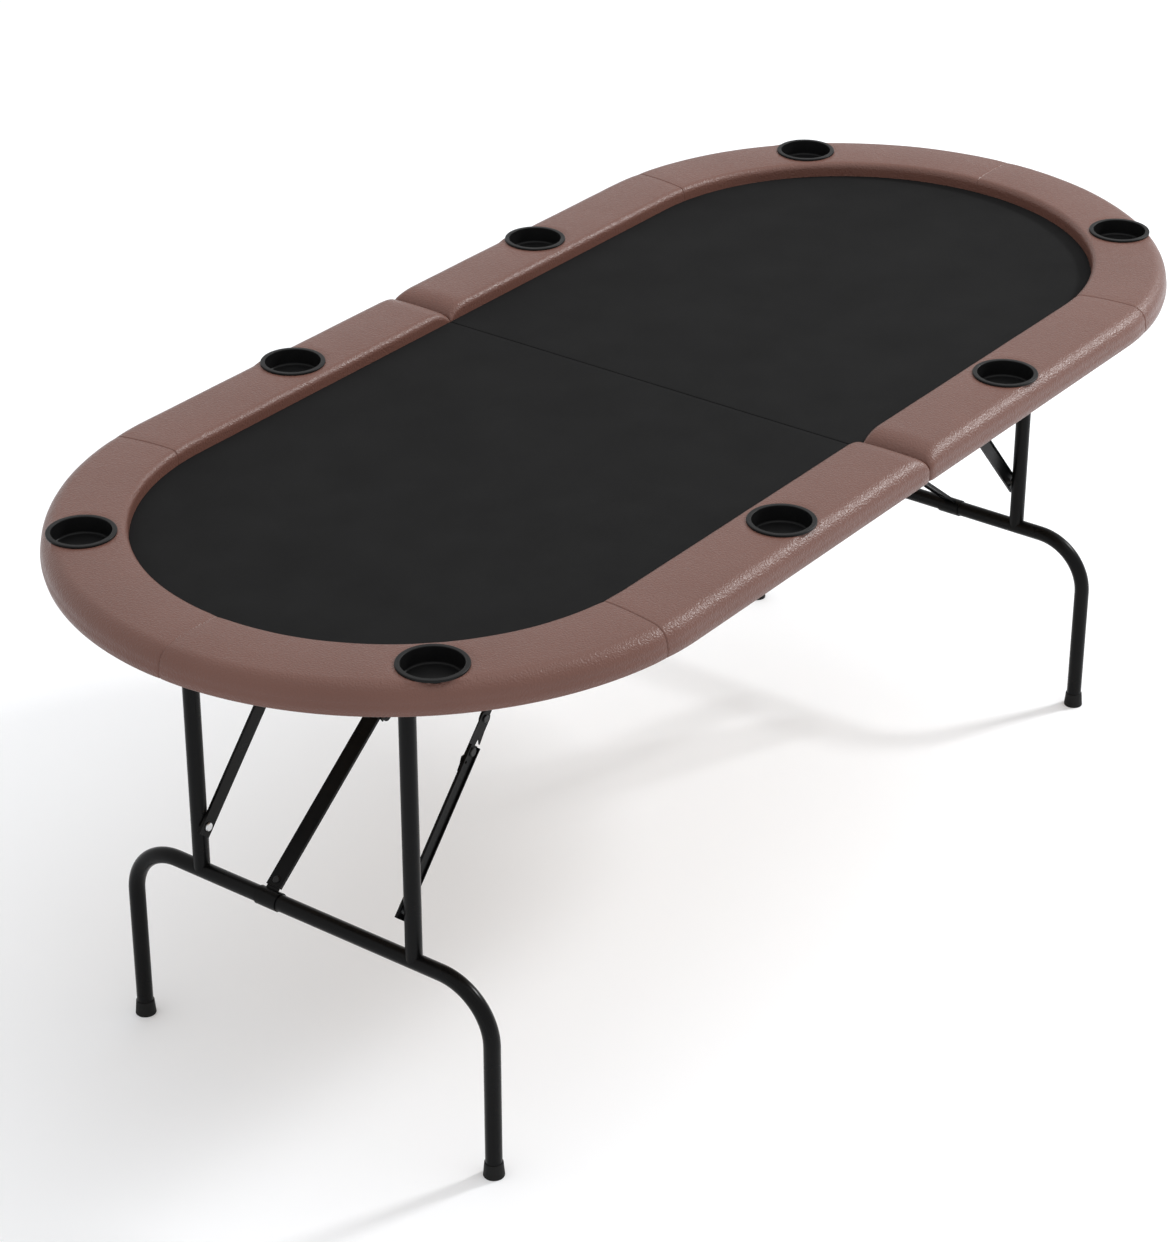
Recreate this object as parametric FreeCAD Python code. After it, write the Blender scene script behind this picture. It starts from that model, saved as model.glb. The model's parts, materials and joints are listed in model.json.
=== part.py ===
import FreeCAD, Part
import math
import os

# Folding ten-player poker table, 1.93 m long, standing on two folding leg frames.
# Frame: origin on the floor under the middle of the table, +X along the table, +Z up, millimetres.
# The table is two equal halves that meet at x = 0. Half b is half a turned 180 degrees about Z.
# Left and right are those of a person who stands at that half's end and faces the middle.

os.makedirs("parts", exist_ok=True)

# ---- driving dimensions, table top ---------------------------------------------------------
END_CENTRE_X = 519.3        # centre of each rounded end, from the middle of the table
RAIL_OUTER_R = 446.4        # half the table's width
RAIL_INNER_R = 338.9        # half the playing cloth's width
RAIL_TOP_Z = 760.0
RAIL_BOTTOM_Z = 720.0
RAIL_OUTER_ROUND = 24.0
RAIL_INNER_ROUND = 9.5
RAIL_LOWER_ROUND = 4.0
RAIL_END_RUN = 38.0         # the rail rounds down over this length where the halves meet
RAIL_END_DROP = 22.0
SEAM_ANGLE = 7.5            # seam between side and end panel, past the start of the round end
HALF_GAP = 0.5              # from the fold plane to each half
BOARD_R = 442.0
BOARD_BOTTOM_Z = 722.0
BOARD_TOP_Z = 737.0
CLOTH_TOP_Z = 739.2
LAP_INNER_R = 415.0         # the rail cover is turned under the board up to here

# ---- driving dimensions, cup holders -------------------------------------------------------
CUP_OFFSET_R = 395.4        # from the table's centre line or the end centre
CUP_SIDE_X = 269.6
CUP_END_ANGLE = 44.0        # from the table's long axis, about the end centre
CUP_FLANGE_R = 43.9
CUP_BORE_R = 37.6
CUP_WALL = 1.8
CUP_LIP_H = 2.8
CUP_FLOOR_Z = 740.0
CUP_FLOOR_ROUND = 3.0
CUP_HOLE_R = 40.0

# ---- driving dimensions, leg frame ---------------------------------------------------------
LEG_X = 733.0
PIVOT_Z = 688.0             # axis about which a leg frame folds
TUBE_R = 11.0
TUBE_WALL = 1.2
FOOT_Y = 296.0
CROSS_Z = 274.0
BEND_R = 78.0
UPRIGHT_Y = 175.5
PIVOT_TUBE_END_Y = 222.0
FOOT_H = 21.0
FOOT_TOP_R = 12.2
FOOT_BOTTOM_R = 14.1
FOOT_SOLE = 3.0
RUN_FIT = 0.05              # radial clearance of every turning fit
AXIAL_GAP = 0.3             # end clearance of every turning fit
SADDLE_Y = 203.0
SADDLE_W = 22.0
SADDLE_T = 2.0
SADDLE_WING = 30.0
SADDLE_SCREW_DX = 22.0
BOLT_HEAD_R = 6.0
BOLT_HEAD_H = 2.6
SPACER_BOSS_R = 5.5
CAPTIVE_NUT_R = 5.0
NUT_H = 3.5
CAPTIVE_NUT_DEPTH = 3.2

# ---- driving dimensions, braces ------------------------------------------------------------
ANCHOR_Z = 710.5            # pivots of the upper links, under the board
SIDE_BOLT_Z = 344.0
SIDE_SLOPE = 48.7
CENTRE_SLOPE = 37.4
CENTRE_Y = 60.0             # the centre brace stands off the middle, so folded halves clear
SHEET_T = 1.5
PLANE_GAP = 0.5             # between links that pass each other
SIDE_LINK_WEB_Y = 161.5     # far face of the lower side link's web, from the table's centre line
SIDE_FLANGE_Y = 164.0
SIDE_LINK_HALF_W = 11.0
UPPER_LINK_HALF_W = 9.5
UPPER_FLANGE_H = 4.3
UPPER_FLANGE_INSET = 26.0   # the flanges stop this far short of each pivot
SIDE_LINK_TAIL = 13.0
SIDE_CHANNEL_END = 219.0
TONGUE_HALF_W = 10.0
LAP_RIVET_S = 211.0
LAP_HOLE_S = 196.0          # small open hole beside the lap rivet
LAP_HOLE_N = 3.5
LAP_HOLE_R = 2.2
LAP_HEAD_R = 6.0
LAP_HEAD_H = 2.6
PIVOT_HEAD_R = 5.0          # heads at the middle pivots and on the brackets
PIVOT_HEAD_H = 2.0
CENTRE_HALF_W = 11.5
CENTRE_WEB_N = 8.0
CENTRE_LIP_N = 3.5           # the channel's lips are shallow, and deepen to ears at its pivot
CENTRE_EAR_N = -5.0
CENTRE_EAR_RUN = 10.0
CENTRE_START = 15.0
BAR_HALF_W = 9.0
BAR_T = 4.0
SPACER_BACK = 50.0          # from the board pivot to the bars' spacer
SPACER_R = 4.0
SLEEVE_HALF_W = 17.0
SLEEVE_RIVET_S = 24.0
SLEEVE_TAB_S0 = 5.0
SLEEVE_TAB_S1 = 36.0
PIN_R = 3.0
EAR_R = 9.0                 # round end of each bracket ear
EAR_T = 2.0
PIN_CAP_H = 1.4
SIDE_BASE_MID_Y = 138.0
SIDE_BASE_HALF_L = 22.0
SIDE_BASE_HALF_W = 10.0
SIDE_SCREW_DX = 14.0
CENTRE_BASE_HALF_L = 28.0
CENTRE_SCREW_DX = 20.0

# ---- driving dimensions, fold hinges -------------------------------------------------------
FOLD_Z = 672.0              # axis about which the halves fold, under the folded legs
BATTEN_W = 38.0
BATTEN_NEAR_X = 2.0
BATTEN_HALF_L = 270.0
KNUCKLE_R = 4.5
HINGE_PIN_R = 2.0
HINGE_Y = 180.0
HINGE_HALF_L = 35.0
KNUCKLES = 5
KNUCKLE_GAP = 0.3
LEAF_T = 2.0
LEAF_FAR_X = 32.0
LEAF_NEAR_X = 5.0
HINGE_HEAD_R = 3.2
HINGE_HEAD_H = 1.5
HINGE_SCREW_DYS = (-24.0, 0.0, 24.0)
BATTEN_SCREW_YS = (-240.0, -90.0, 90.0, 240.0)
BATTEN_SCREW_DEPTH = 55.0

# ---- driving dimensions, screws ------------------------------------------------------------
SCREW_R = 2.0
SCREW_HEAD_R = 4.2
SCREW_HEAD_H = 1.8
SCREW_DEPTH = 11.0

UP = FreeCAD.Vector(0, 0, 1)
ALONG_Y = FreeCAD.Vector(0, 1, 0)
BATTEN_BOTTOM_Z = FOLD_Z + KNUCKLE_R
BATTEN_X = -BATTEN_NEAR_X - BATTEN_W / 2


def vec(x, y, z):
    return FreeCAD.Vector(x, y, z)


def box(x0, x1, y0, y1, z0, z1):
    """Block between two opposite corners, given as lowest and highest values."""
    return Part.makeBox(x1 - x0, y1 - y0, z1 - z0, vec(x0, y0, z0))


def rod_y(radius, x, y0, y1, z):
    """Round bar along Y."""
    return Part.makeCylinder(radius, y1 - y0, vec(x, y0, z), ALONG_Y)


def rod_z(radius, x, y, z0, z1):
    """Round bar along Z."""
    return Part.makeCylinder(radius, z1 - z0, vec(x, y, z0), UP)


def polygon_face(points):
    return Part.Face(Part.makePolygon(points + [points[0]]))


def mirror_y(shape):
    return shape.mirror(vec(0, 0, 0), ALONG_Y)


def both_sides(shape):
    """The same piece on the left and on the right of the centre line."""
    return [shape, mirror_y(shape)]


def cut_all(shape, tools):
    return shape.cut(Part.makeCompound(tools))


def fuse_all(shapes):
    body = shapes[0]
    for other in shapes[1:]:
        body = body.fuse(other)
    return body.removeSplitter()


def half_stadium(radius, z0, z1):
    """Flat slab with half the table's outline, from the fold plane to the rounded end."""
    near = -HALF_GAP
    far = -END_CENTRE_X
    edges = [
        Part.LineSegment(vec(near, -radius, z0), vec(far, -radius, z0)).toShape(),
        Part.Arc(vec(far, -radius, z0), vec(far - radius, 0, z0), vec(far, radius, z0)).toShape(),
        Part.LineSegment(vec(far, radius, z0), vec(near, radius, z0)).toShape(),
        Part.LineSegment(vec(near, radius, z0), vec(near, -radius, z0)).toShape(),
    ]
    return Part.Face(Part.Wire(edges)).extrude(vec(0, 0, z1 - z0))


# ---- padded rail ---------------------------------------------------------------------------
def rail_section():
    """Section of the padded rail at x = -END_CENTRE_X, in the plane of Y and Z."""
    def at(r, z):
        return vec(-END_CENTRE_X, r, z)

    def line(a, b):
        return Part.LineSegment(at(*a), at(*b)).toShape()

    def round_corner(a, centre, b):
        """Quarter circle from a to b, bulging away from its centre."""
        mid_angle = math.atan2(a[1] + b[1] - 2 * centre[1], a[0] + b[0] - 2 * centre[0])
        radius = math.hypot(a[0] - centre[0], a[1] - centre[1])
        mid = (centre[0] + radius * math.cos(mid_angle), centre[1] + radius * math.sin(mid_angle))
        return Part.Arc(at(*a), at(*mid), at(*b)).toShape()

    inner_foot = (RAIL_INNER_R, BOARD_TOP_Z)
    inner_shoulder = (RAIL_INNER_R, RAIL_TOP_Z - RAIL_INNER_ROUND)
    inner_crown = (RAIL_INNER_R + RAIL_INNER_ROUND, RAIL_TOP_Z)
    outer_crown = (RAIL_OUTER_R - RAIL_OUTER_ROUND, RAIL_TOP_Z)
    outer_shoulder = (RAIL_OUTER_R, RAIL_TOP_Z - RAIL_OUTER_ROUND)
    outer_foot = (RAIL_OUTER_R, RAIL_BOTTOM_Z + RAIL_LOWER_ROUND)
    under_edge = (RAIL_OUTER_R - RAIL_LOWER_ROUND, RAIL_BOTTOM_Z)
    lap_low = (LAP_INNER_R, RAIL_BOTTOM_Z)
    lap_high = (LAP_INNER_R, BOARD_BOTTOM_Z)
    board_low = (BOARD_R, BOARD_BOTTOM_Z)
    board_high = (BOARD_R, BOARD_TOP_Z)
    inner_centre = (inner_crown[0], inner_shoulder[1])
    outer_centre = (outer_crown[0], outer_shoulder[1])
    lower_centre = (under_edge[0], outer_foot[1])
    edges = [
        line(inner_foot, inner_shoulder),
        round_corner(inner_shoulder, inner_centre, inner_crown),
        line(inner_crown, outer_crown),
        round_corner(outer_crown, outer_centre, outer_shoulder),
        line(outer_shoulder, outer_foot),
        round_corner(outer_foot, lower_centre, under_edge),
        line(under_edge, lap_low),
        line(lap_low, lap_high),
        line(lap_high, board_low),
        line(board_low, board_high),
        line(board_high, inner_foot),
    ]
    return Part.Face(Part.Wire(edges))


def rounded_end_mask():
    """Block with one rounded top edge, which shapes the rail's end at the fold."""
    margin = 1.0
    top = RAIL_TOP_Z
    bottom = RAIL_BOTTOM_Z - margin
    far = -END_CENTRE_X - margin
    near = -HALF_GAP
    share = 1 - math.sqrt(0.5)
    points = [vec(near, 0, top - RAIL_END_DROP), vec(near, 0, bottom), vec(far, 0, bottom),
              vec(far, 0, top), vec(near - RAIL_END_RUN, 0, top)]
    edges = [Part.LineSegment(a, b).toShape() for a, b in zip(points, points[1:])]
    middle = vec(near - share * RAIL_END_RUN, 0, top - share * RAIL_END_DROP)
    edges.append(Part.Arc(points[-1], middle, points[0]).toShape())
    return Part.Face(Part.Wire(edges)).extrude(vec(0, RAIL_OUTER_R + margin, 0))


def cup_centres():
    """Place of the side cup and of the end cup on the left of half a."""
    angle = math.radians(CUP_END_ANGLE)
    end_x = -END_CENTRE_X - CUP_OFFSET_R * math.cos(angle)
    end_y = CUP_OFFSET_R * math.sin(angle)
    return {"side": (-CUP_SIDE_X, CUP_OFFSET_R), "end": (end_x, end_y)}


def rail_panels():
    """Left side panel and left end panel, each with the hole for its cup."""
    centres = cup_centres()
    length = END_CENTRE_X - HALF_GAP
    centre = vec(-END_CENTRE_X, 0, 0)
    straight = rail_section().extrude(vec(length, 0, 0)).common(rounded_end_mask())
    side = straight.fuse(rail_section().revolve(centre, UP, SEAM_ANGLE)).removeSplitter()
    end = rail_section().revolve(centre, UP, 90 - SEAM_ANGLE)
    end.rotate(centre, UP, SEAM_ANGLE)
    holes = {key: rod_z(CUP_HOLE_R, x, y, BOARD_TOP_Z, RAIL_TOP_Z + 1) for key, (x, y) in centres.items()}
    return {"side": side.cut(holes["side"]), "end": end.cut(holes["end"])}


def cup_holder(x, y):
    """Drop-in cup: a flange on the rail, a straight wall and a floor with a rounded corner."""
    outer_r = CUP_BORE_R + CUP_WALL
    lip_round = CUP_LIP_H / 2
    base_z = CUP_FLOOR_Z - CUP_WALL
    body = rod_z(outer_r, x, y, base_z, RAIL_TOP_Z)
    flange = rod_z(CUP_FLANGE_R, x, y, RAIL_TOP_Z, RAIL_TOP_Z + CUP_LIP_H)
    rim_edges = [e for e in flange.Edges if len(e.Vertexes) == 1]
    top_edge = [e for e in rim_edges if e.CenterOfMass.z > RAIL_TOP_Z + lip_round]
    flange = flange.makeFillet(lip_round, top_edge)
    bore = rod_z(CUP_BORE_R, x, y, CUP_FLOOR_Z, RAIL_TOP_Z + CUP_LIP_H + 1)
    floor_edge = [e for e in bore.Edges if len(e.Vertexes) == 1 and e.CenterOfMass.z < CUP_FLOOR_Z + 1]
    bore = bore.makeFillet(CUP_FLOOR_ROUND, floor_edge)
    cup = body.fuse(flange).removeSplitter().cut(bore)
    mouth = [e for e in cup.Edges if abs(e.CenterOfMass.z - RAIL_TOP_Z - CUP_LIP_H) < 0.01
             and e.BoundBox.XLength < 2 * CUP_BORE_R + 1]
    return cup.makeFillet(1.0, mouth)


# ---- leg frame -----------------------------------------------------------------------------
def tube_y(x, y0, y1, z):
    """Round tube along Y."""
    return rod_y(TUBE_R, x, y0, y1, z).cut(rod_y(TUBE_R - TUBE_WALL, x, y0, y1, z))


def tube_z(x, y, z0, z1):
    """Round tube along Z."""
    return rod_z(TUBE_R, x, y, z0, z1).cut(rod_z(TUBE_R - TUBE_WALL, x, y, z0, z1))


def tube_bend(y_centre):
    """Quarter bend from the foot tube to the cross tube on the left side."""
    centre = vec(-LEG_X, y_centre, CROSS_Z - BEND_R)
    ring = Part.makeTorus(BEND_R, TUBE_R, centre, vec(1, 0, 0))
    hollow = Part.makeTorus(BEND_R, TUBE_R - TUBE_WALL, centre, vec(1, 0, 0))
    reach = BEND_R + TUBE_R + 1
    quarter = box(-LEG_X - reach, -LEG_X + reach, y_centre, y_centre + reach, centre.z, centre.z + reach)
    return ring.cut(hollow).common(quarter)


def u_tube():
    """One bent tube: two feet and the cross tube between them."""
    bend_y = FOOT_Y - BEND_R
    pieces = [tube_y(-LEG_X, -bend_y, bend_y, CROSS_Z)]
    pieces += both_sides(tube_bend(bend_y))
    pieces += both_sides(tube_z(-LEG_X, FOOT_Y, FOOT_SOLE, CROSS_Z - BEND_R))
    return fuse_all(pieces)


def uprights():
    """Two straight tubes, coped onto the cross tube and onto the pivot tube, with a bolt hole."""
    post = tube_z(-LEG_X, UPRIGHT_Y, CROSS_Z, PIVOT_Z)
    post = post.cut(rod_y(TUBE_R, -LEG_X, 0, PIVOT_TUBE_END_Y, CROSS_Z))
    post = post.cut(rod_y(TUBE_R, -LEG_X, 0, PIVOT_TUBE_END_Y, PIVOT_Z))
    bolt_hole = rod_y(PIN_R, -LEG_X, UPRIGHT_Y - 2 * TUBE_R, UPRIGHT_Y, SIDE_BOLT_Z)
    return Part.makeCompound(both_sides(post.cut(bolt_hole)))


def foot_caps():
    """Tapered caps that each hold the end of a foot tube."""
    cap = Part.makeCone(FOOT_BOTTOM_R, FOOT_TOP_R, FOOT_H, vec(-LEG_X, FOOT_Y, 0), UP)
    cap = cap.makeFillet(1.0, [e for e in cap.Edges if len(e.Vertexes) == 1])
    cap = cap.cut(rod_z(TUBE_R, -LEG_X, FOOT_Y, FOOT_SOLE, FOOT_H + 1))
    return Part.makeCompound(both_sides(cap))


def leg_bolts():
    """Side brace bolts into the uprights, each with a domed head, a spacer and a captive nut."""
    head_y = SIDE_LINK_WEB_Y - SHEET_T - AXIAL_GAP
    spacer_y = SIDE_LINK_WEB_Y + AXIAL_GAP
    tube_face_y = UPRIGHT_Y - TUBE_R
    nut_y = tube_face_y + CAPTIVE_NUT_DEPTH
    shank = rod_y(PIN_R, -LEG_X, head_y, nut_y + NUT_H, SIDE_BOLT_Z)
    head = rod_y(BOLT_HEAD_R, -LEG_X, head_y - BOLT_HEAD_H, head_y, SIDE_BOLT_Z)
    dome_edge = [e for e in head.Edges if len(e.Vertexes) == 1 and e.CenterOfMass.y < head_y - 1]
    head = head.makeFillet(BOLT_HEAD_H - 0.6, dome_edge)
    spacer = rod_y(SPACER_BOSS_R, -LEG_X, spacer_y, tube_face_y + TUBE_WALL, SIDE_BOLT_Z)
    spacer = spacer.cut(rod_z(TUBE_R, -LEG_X, UPRIGHT_Y, SIDE_BOLT_Z - 20, SIDE_BOLT_Z + 20))
    nut = hexagon_y(CAPTIVE_NUT_R, -LEG_X, nut_y, nut_y + NUT_H, SIDE_BOLT_Z)
    bolt = fuse_all([shank, head, spacer, nut])
    return Part.makeCompound(both_sides(bolt))


def hexagon_y(radius, x, y0, y1, z):
    """Hexagonal bar along Y."""
    corners = []
    for step in range(6):
        angle = math.radians(60 * step)
        corners.append(vec(x + radius * math.cos(angle), y0, z + radius * math.sin(angle)))
    return polygon_face(corners).extrude(vec(0, y1 - y0, 0))


# ---- brace links ---------------------------------------------------------------------------
class LinkFrame:
    """Plane of a brace at rest: s runs from its leg pivot to its board pivot, n is up from it."""

    def __init__(self, z, slope):
        self.z = z
        self.cos = math.cos(math.radians(slope))
        self.sin = math.sin(math.radians(slope))
        rise = ANCHOR_Z - z
        drop = ANCHOR_Z - PIVOT_Z
        below = PIVOT_Z - z
        self.length = rise / self.sin
        self.run = rise * self.cos / self.sin
        # Folded, the upper link lies level at ANCHOR_Z and the lower link's end meets it there.
        free = self.length + below - self.run
        self.lower = (free * free + drop * drop) / (2 * free)

    def at(self, s, n, y=0.0):
        x = -LEG_X + s * self.cos - n * self.sin
        z = self.z + s * self.sin + n * self.cos
        return vec(x, y, z)

    def plate(self, points, y0, y1):
        return polygon_face([self.at(s, n, y0) for s, n in points]).extrude(vec(0, y1 - y0, 0))

    def strip(self, s0, s1, n0, n1, y0, y1):
        return self.plate([(s0, n0), (s1, n0), (s1, n1), (s0, n1)], y0, y1)

    def disc(self, s, n, radius, y0, y1):
        centre = self.at(s, n)
        return rod_y(radius, centre.x, y0, y1, centre.z)

    def bar(self, s0, s1, half_w, y0, y1):
        """Flat bar with a round end about each of its two pivots."""
        body = self.strip(s0, s1, -half_w, half_w, y0, y1)
        return fuse_all([body, self.disc(s0, 0, half_w, y0, y1), self.disc(s1, 0, half_w, y0, y1)])


SIDE = LinkFrame(SIDE_BOLT_Z, SIDE_SLOPE)
CENTRE = LinkFrame(CROSS_Z, CENTRE_SLOPE)

LOWER_WEB_Y = SIDE_LINK_WEB_Y - SHEET_T
TONGUE_Y = LOWER_WEB_Y - SHEET_T
UPPER_FACE_Y = TONGUE_Y - PLANE_GAP
UPPER_BACK_Y = UPPER_FACE_Y - SHEET_T
EAR_FACE_Y = UPPER_BACK_Y - PLANE_GAP


def side_lower_channel():
    """Shallow channel from the leg bolt to the lap, flanges towards the upright."""
    s0 = -SIDE_LINK_TAIL
    s1 = SIDE_CHANNEL_END
    w = SIDE_LINK_HALF_W
    web = SIDE.strip(s0, s1, -w, w, LOWER_WEB_Y, SIDE_LINK_WEB_Y)
    flange_low = SIDE.strip(s0, s1, -w, -w + SHEET_T, LOWER_WEB_Y, SIDE_FLANGE_Y)
    flange_high = SIDE.strip(s0, s1, w - SHEET_T, w, LOWER_WEB_Y, SIDE_FLANGE_Y)
    link = fuse_all([web, flange_low, flange_high])
    holes = [
        SIDE.disc(0, 0, PIN_R + RUN_FIT, LOWER_WEB_Y - 1, SIDE_LINK_WEB_Y + 1),
        SIDE.disc(LAP_RIVET_S, 0, PIN_R, LOWER_WEB_Y - 1, SIDE_LINK_WEB_Y + 1),
        SIDE.disc(LAP_HOLE_S, LAP_HOLE_N, LAP_HOLE_R, LOWER_WEB_Y - 1, SIDE_LINK_WEB_Y + 1),
    ]
    return cut_all(link, holes)


def side_tongue():
    """Plate riveted behind the channel, with a stop nub, a hooked nose and the middle pivot."""
    j = SIDE.lower
    w = TONGUE_HALF_W
    outline = [(182, 1 - w), (220, 1 - w), (220, -2.5), (230, -4), (223.5, -w - 0.5), (223, -w - 2),
               (227, -w - 1.8), (241, -w), (j, -w), (j, w), (204, w + 0.5), (200, w + 4.5),
               (191, w + 1), (182, w)]
    plate = SIDE.plate(outline, TONGUE_Y, LOWER_WEB_Y)
    plate = fuse_all([plate, SIDE.disc(j, 0, w, TONGUE_Y, LOWER_WEB_Y)])
    holes = [
        SIDE.disc(j, 0, PIN_R, TONGUE_Y - 1, LOWER_WEB_Y + 1),
        SIDE.disc(LAP_RIVET_S, 0, PIN_R, TONGUE_Y - 1, LOWER_WEB_Y + 1),
        SIDE.disc(LAP_HOLE_S, LAP_HOLE_N, LAP_HOLE_R, TONGUE_Y - 1, LOWER_WEB_Y + 1),
    ]
    return cut_all(plate, holes)


def rivet_y(frame, s, y_flush, y_face, head_r, head_h):
    """Rivet that is flush at one end and has a domed head beyond the other."""
    low = min(y_flush, y_face)
    high = max(y_flush, y_face)
    shank = frame.disc(s, 0, PIN_R, low, high)
    outward = math.copysign(head_h, y_face - y_flush)
    top = y_face + outward
    head = frame.disc(s, 0, head_r, min(y_face, top), max(y_face, top))
    rim = [e for e in head.Edges if len(e.Vertexes) == 1 and abs(e.CenterOfMass.y - top) < 0.1]
    head = head.makeFillet(head_h * 0.7, rim)
    return shank.fuse(head).removeSplitter()


def side_rivets():
    """Lap rivet and middle pivot rivet of each lower side link."""
    lap = rivet_y(SIDE, LAP_RIVET_S, TONGUE_Y, SIDE_LINK_WEB_Y, LAP_HEAD_R, LAP_HEAD_H)
    middle = rivet_y(SIDE, SIDE.lower, TONGUE_Y, LOWER_WEB_Y, PIVOT_HEAD_R, PIVOT_HEAD_H)
    return Part.makeCompound(both_sides(lap) + both_sides(middle))


def side_upper():
    """Upper side link: a flat bar with flanges between its two pivots, and its half rivet."""
    s0 = SIDE.lower
    s1 = SIDE.length
    w = UPPER_LINK_HALF_W
    back = UPPER_BACK_Y
    flange_y = back - UPPER_FLANGE_H + SHEET_T
    bar = SIDE.bar(s0, s1, w, back, UPPER_FACE_Y)
    near = s0 + UPPER_FLANGE_INSET
    far = s1 - UPPER_FLANGE_INSET
    flange_low = SIDE.strip(near, far, -w, -w + SHEET_T, flange_y, UPPER_FACE_Y)
    flange_high = SIDE.strip(near, far, w - SHEET_T, w, flange_y, UPPER_FACE_Y)
    stub = SIDE.disc(s0, 0, PIVOT_HEAD_R, back - PIVOT_HEAD_H, back)
    link = fuse_all([bar, flange_low, flange_high, stub])
    return link.cut(SIDE.disc(s1, 0, PIN_R + RUN_FIT, back - 1, UPPER_FACE_Y + 1))


def centre_lower():
    """Shallow channel from the sleeve to the middle pivot of the centre brace, eared at the pivot."""
    s0 = CENTRE_START
    s1 = CENTRE.lower
    y0 = CENTRE_Y - CENTRE_HALF_W
    y1 = CENTRE_Y + CENTRE_HALF_W
    web_end = s1 - 4
    ear_start = s1 - CENTRE_EAR_RUN
    web = CENTRE.strip(s0, web_end, CENTRE_WEB_N - SHEET_T, CENTRE_WEB_N, y0, y1)
    pieces = [web]
    for flange_y in (y0, y1 - SHEET_T):
        far_y = flange_y + SHEET_T
        pieces.append(CENTRE.strip(s0, ear_start, CENTRE_LIP_N, CENTRE_WEB_N, flange_y, far_y))
        pieces.append(CENTRE.strip(ear_start, s1, CENTRE_EAR_N, CENTRE_WEB_N, flange_y, far_y))
        pieces.append(CENTRE.disc(s1, 0, -CENTRE_EAR_N, flange_y, far_y))
    link = fuse_all(pieces)
    return link.cut(centre_rivet_shank())


def centre_rivet_shank():
    """Shank of the rivet that holds the channel's web to the sleeve's tab."""
    start = CENTRE.at(SLEEVE_RIVET_S, CENTRE_WEB_N - 2 * SHEET_T, CENTRE_Y)
    end = CENTRE.at(SLEEVE_RIVET_S, CENTRE_WEB_N, CENTRE_Y)
    return Part.makeCylinder(PIN_R, (end - start).Length, start, end - start)


def centre_rivets():
    """Pop rivet in the web, and the middle pivot's rod between the flanges."""
    face = CENTRE.at(SLEEVE_RIVET_S, CENTRE_WEB_N, CENTRE_Y)
    normal = CENTRE.at(SLEEVE_RIVET_S, CENTRE_WEB_N + 1, CENTRE_Y) - face
    head = Part.makeCylinder(PIVOT_HEAD_R, PIVOT_HEAD_H, face, normal)
    top = face + normal * PIVOT_HEAD_H
    rim = [e for e in head.Edges if len(e.Vertexes) == 1 and (e.CenterOfMass - top).Length < 0.1]
    head = head.makeFillet(PIVOT_HEAD_H * 0.7, rim)
    web_rivet = centre_rivet_shank().fuse(head).removeSplitter()
    inside = CENTRE_HALF_W - SHEET_T
    rod = CENTRE.disc(CENTRE.lower, 0, PIN_R, CENTRE_Y - inside, CENTRE_Y + inside)
    return Part.makeCompound([web_rivet, rod])


def centre_sleeve():
    """Collar that turns on the cross tube, with a tab under the channel's web."""
    y0 = CENTRE_Y - SLEEVE_HALF_W
    y1 = CENTRE_Y + SLEEVE_HALF_W
    bore_r = TUBE_R + RUN_FIT
    collar = rod_y(bore_r + SHEET_T, -LEG_X, y0, y1, CROSS_Z)
    tab_top = CENTRE_WEB_N - SHEET_T
    inside = CENTRE_HALF_W - SHEET_T
    tab = CENTRE.strip(SLEEVE_TAB_S0, SLEEVE_TAB_S1, tab_top - SHEET_T, tab_top,
                       CENTRE_Y - inside, CENTRE_Y + inside)
    sleeve = fuse_all([collar, tab])
    sleeve = sleeve.cut(rod_y(bore_r, -LEG_X, y0 - 1, y1 + 1, CROSS_Z))
    return sleeve.cut(centre_rivet_shank())


def centre_upper():
    """Pair of flat bars, one each side of the channel, joined by a spacer near the board."""
    s0 = CENTRE.lower
    s1 = CENTRE.length
    inner = CENTRE_HALF_W + PLANE_GAP
    outer = inner + BAR_T
    pieces = []
    for y0 in (CENTRE_Y + inner, CENTRE_Y - outer):
        pieces.append(CENTRE.bar(s0, s1, BAR_HALF_W, y0, y0 + BAR_T))
    for y0 in (CENTRE_Y + outer, CENTRE_Y - outer - PIVOT_HEAD_H):
        pieces.append(CENTRE.disc(s0, 0, PIVOT_HEAD_R, y0, y0 + PIVOT_HEAD_H))
    pieces.append(CENTRE.disc(s1 - SPACER_BACK, 0, SPACER_R, CENTRE_Y - inner, CENTRE_Y + inner))
    link = fuse_all(pieces)
    reach = outer + 1
    return link.cut(CENTRE.disc(s1, 0, PIN_R + RUN_FIT, CENTRE_Y - reach, CENTRE_Y + reach))


# ---- fittings under the board --------------------------------------------------------------
def screw(x, y, z_face, depth=SCREW_DEPTH):
    """Wood screw that points up, with its head under the face."""
    head = rod_z(SCREW_HEAD_R, x, y, z_face - SCREW_HEAD_H, z_face)
    low_edge = [e for e in head.Edges if len(e.Vertexes) == 1 and e.CenterOfMass.z < z_face - 1]
    head = head.makeFillet(1.2, low_edge)
    return head.fuse(screw_shank(x, y, z_face, depth)).removeSplitter()


def screw_shank(x, y, z_face, depth=SCREW_DEPTH):
    return rod_z(SCREW_R, x, y, z_face, z_face + depth)


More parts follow.
